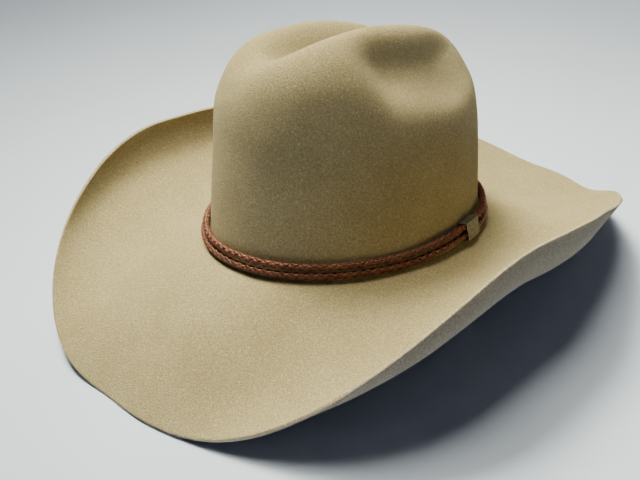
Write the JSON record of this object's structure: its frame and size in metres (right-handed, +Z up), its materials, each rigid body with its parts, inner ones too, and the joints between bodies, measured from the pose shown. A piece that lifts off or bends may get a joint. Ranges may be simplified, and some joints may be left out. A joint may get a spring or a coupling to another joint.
{
  "type": "cowboy hat",
  "caption": "Wide-brimmed western hat of blocked felt with a creased crown, rolled sides and a twin braided leather cord band closed by a metal keeper.",
  "frame": {"origin": "centre of the overall box at table level, where the brim's lowest edges stand", "axes": "+Z up from the table, front of the hat towards -Y, the wearer's left at +X; the crown's own axis leans about 8 degrees towards the back and 1.5 degrees towards the wearer's right because the front of the brim dips deeper than the back and the left side a little deeper than the right"},
  "size_m": [0.3512, 0.4124, 0.1946],
  "materials": {
    "felt": "short brushed nap, matte, sand beige",
    "braided_leather": "polished, red-brown, diagonal plait",
    "keeper_metal": "dull grey, worn, engraved lines",
    "sweat_leather": "smooth satin tan",
    "reed_tape": "woven tape over a round reed",
    "ribbon": "ribbed ribbon",
    "satin": "satin sheen",
    "satin_piping": "satin sheen"
  },
  "bodies": {
    "hat": {"felt_body": "felt", "sweatband": "sweat_leather", "sweatband_reed": "reed_tape", "sweatband_bow": "ribbon", "liner_side": "satin", "liner_tip": "satin", "liner_piping": "satin_piping"},
    "band": {"band_cord_lower": "braided_leather", "band_cord_upper": "braided_leather"},
    "keeper": {"cord_keeper": "keeper_metal"}
  },
  "joints": [
    {"name": "band_lift", "type": "slide", "parent": "hat", "child": "band", "axis": [-0.0257, 0.1069, 0.9939], "range_m": [0, 0.155]},
    {"name": "keeper_slide", "type": "hinge", "parent": "band", "child": "keeper", "pos_m": [-0.034, -0.0031, 0.0525], "axis": [-0.0262, 0.1072, 0.9939], "range_deg": [-6, 6]}
  ]
}
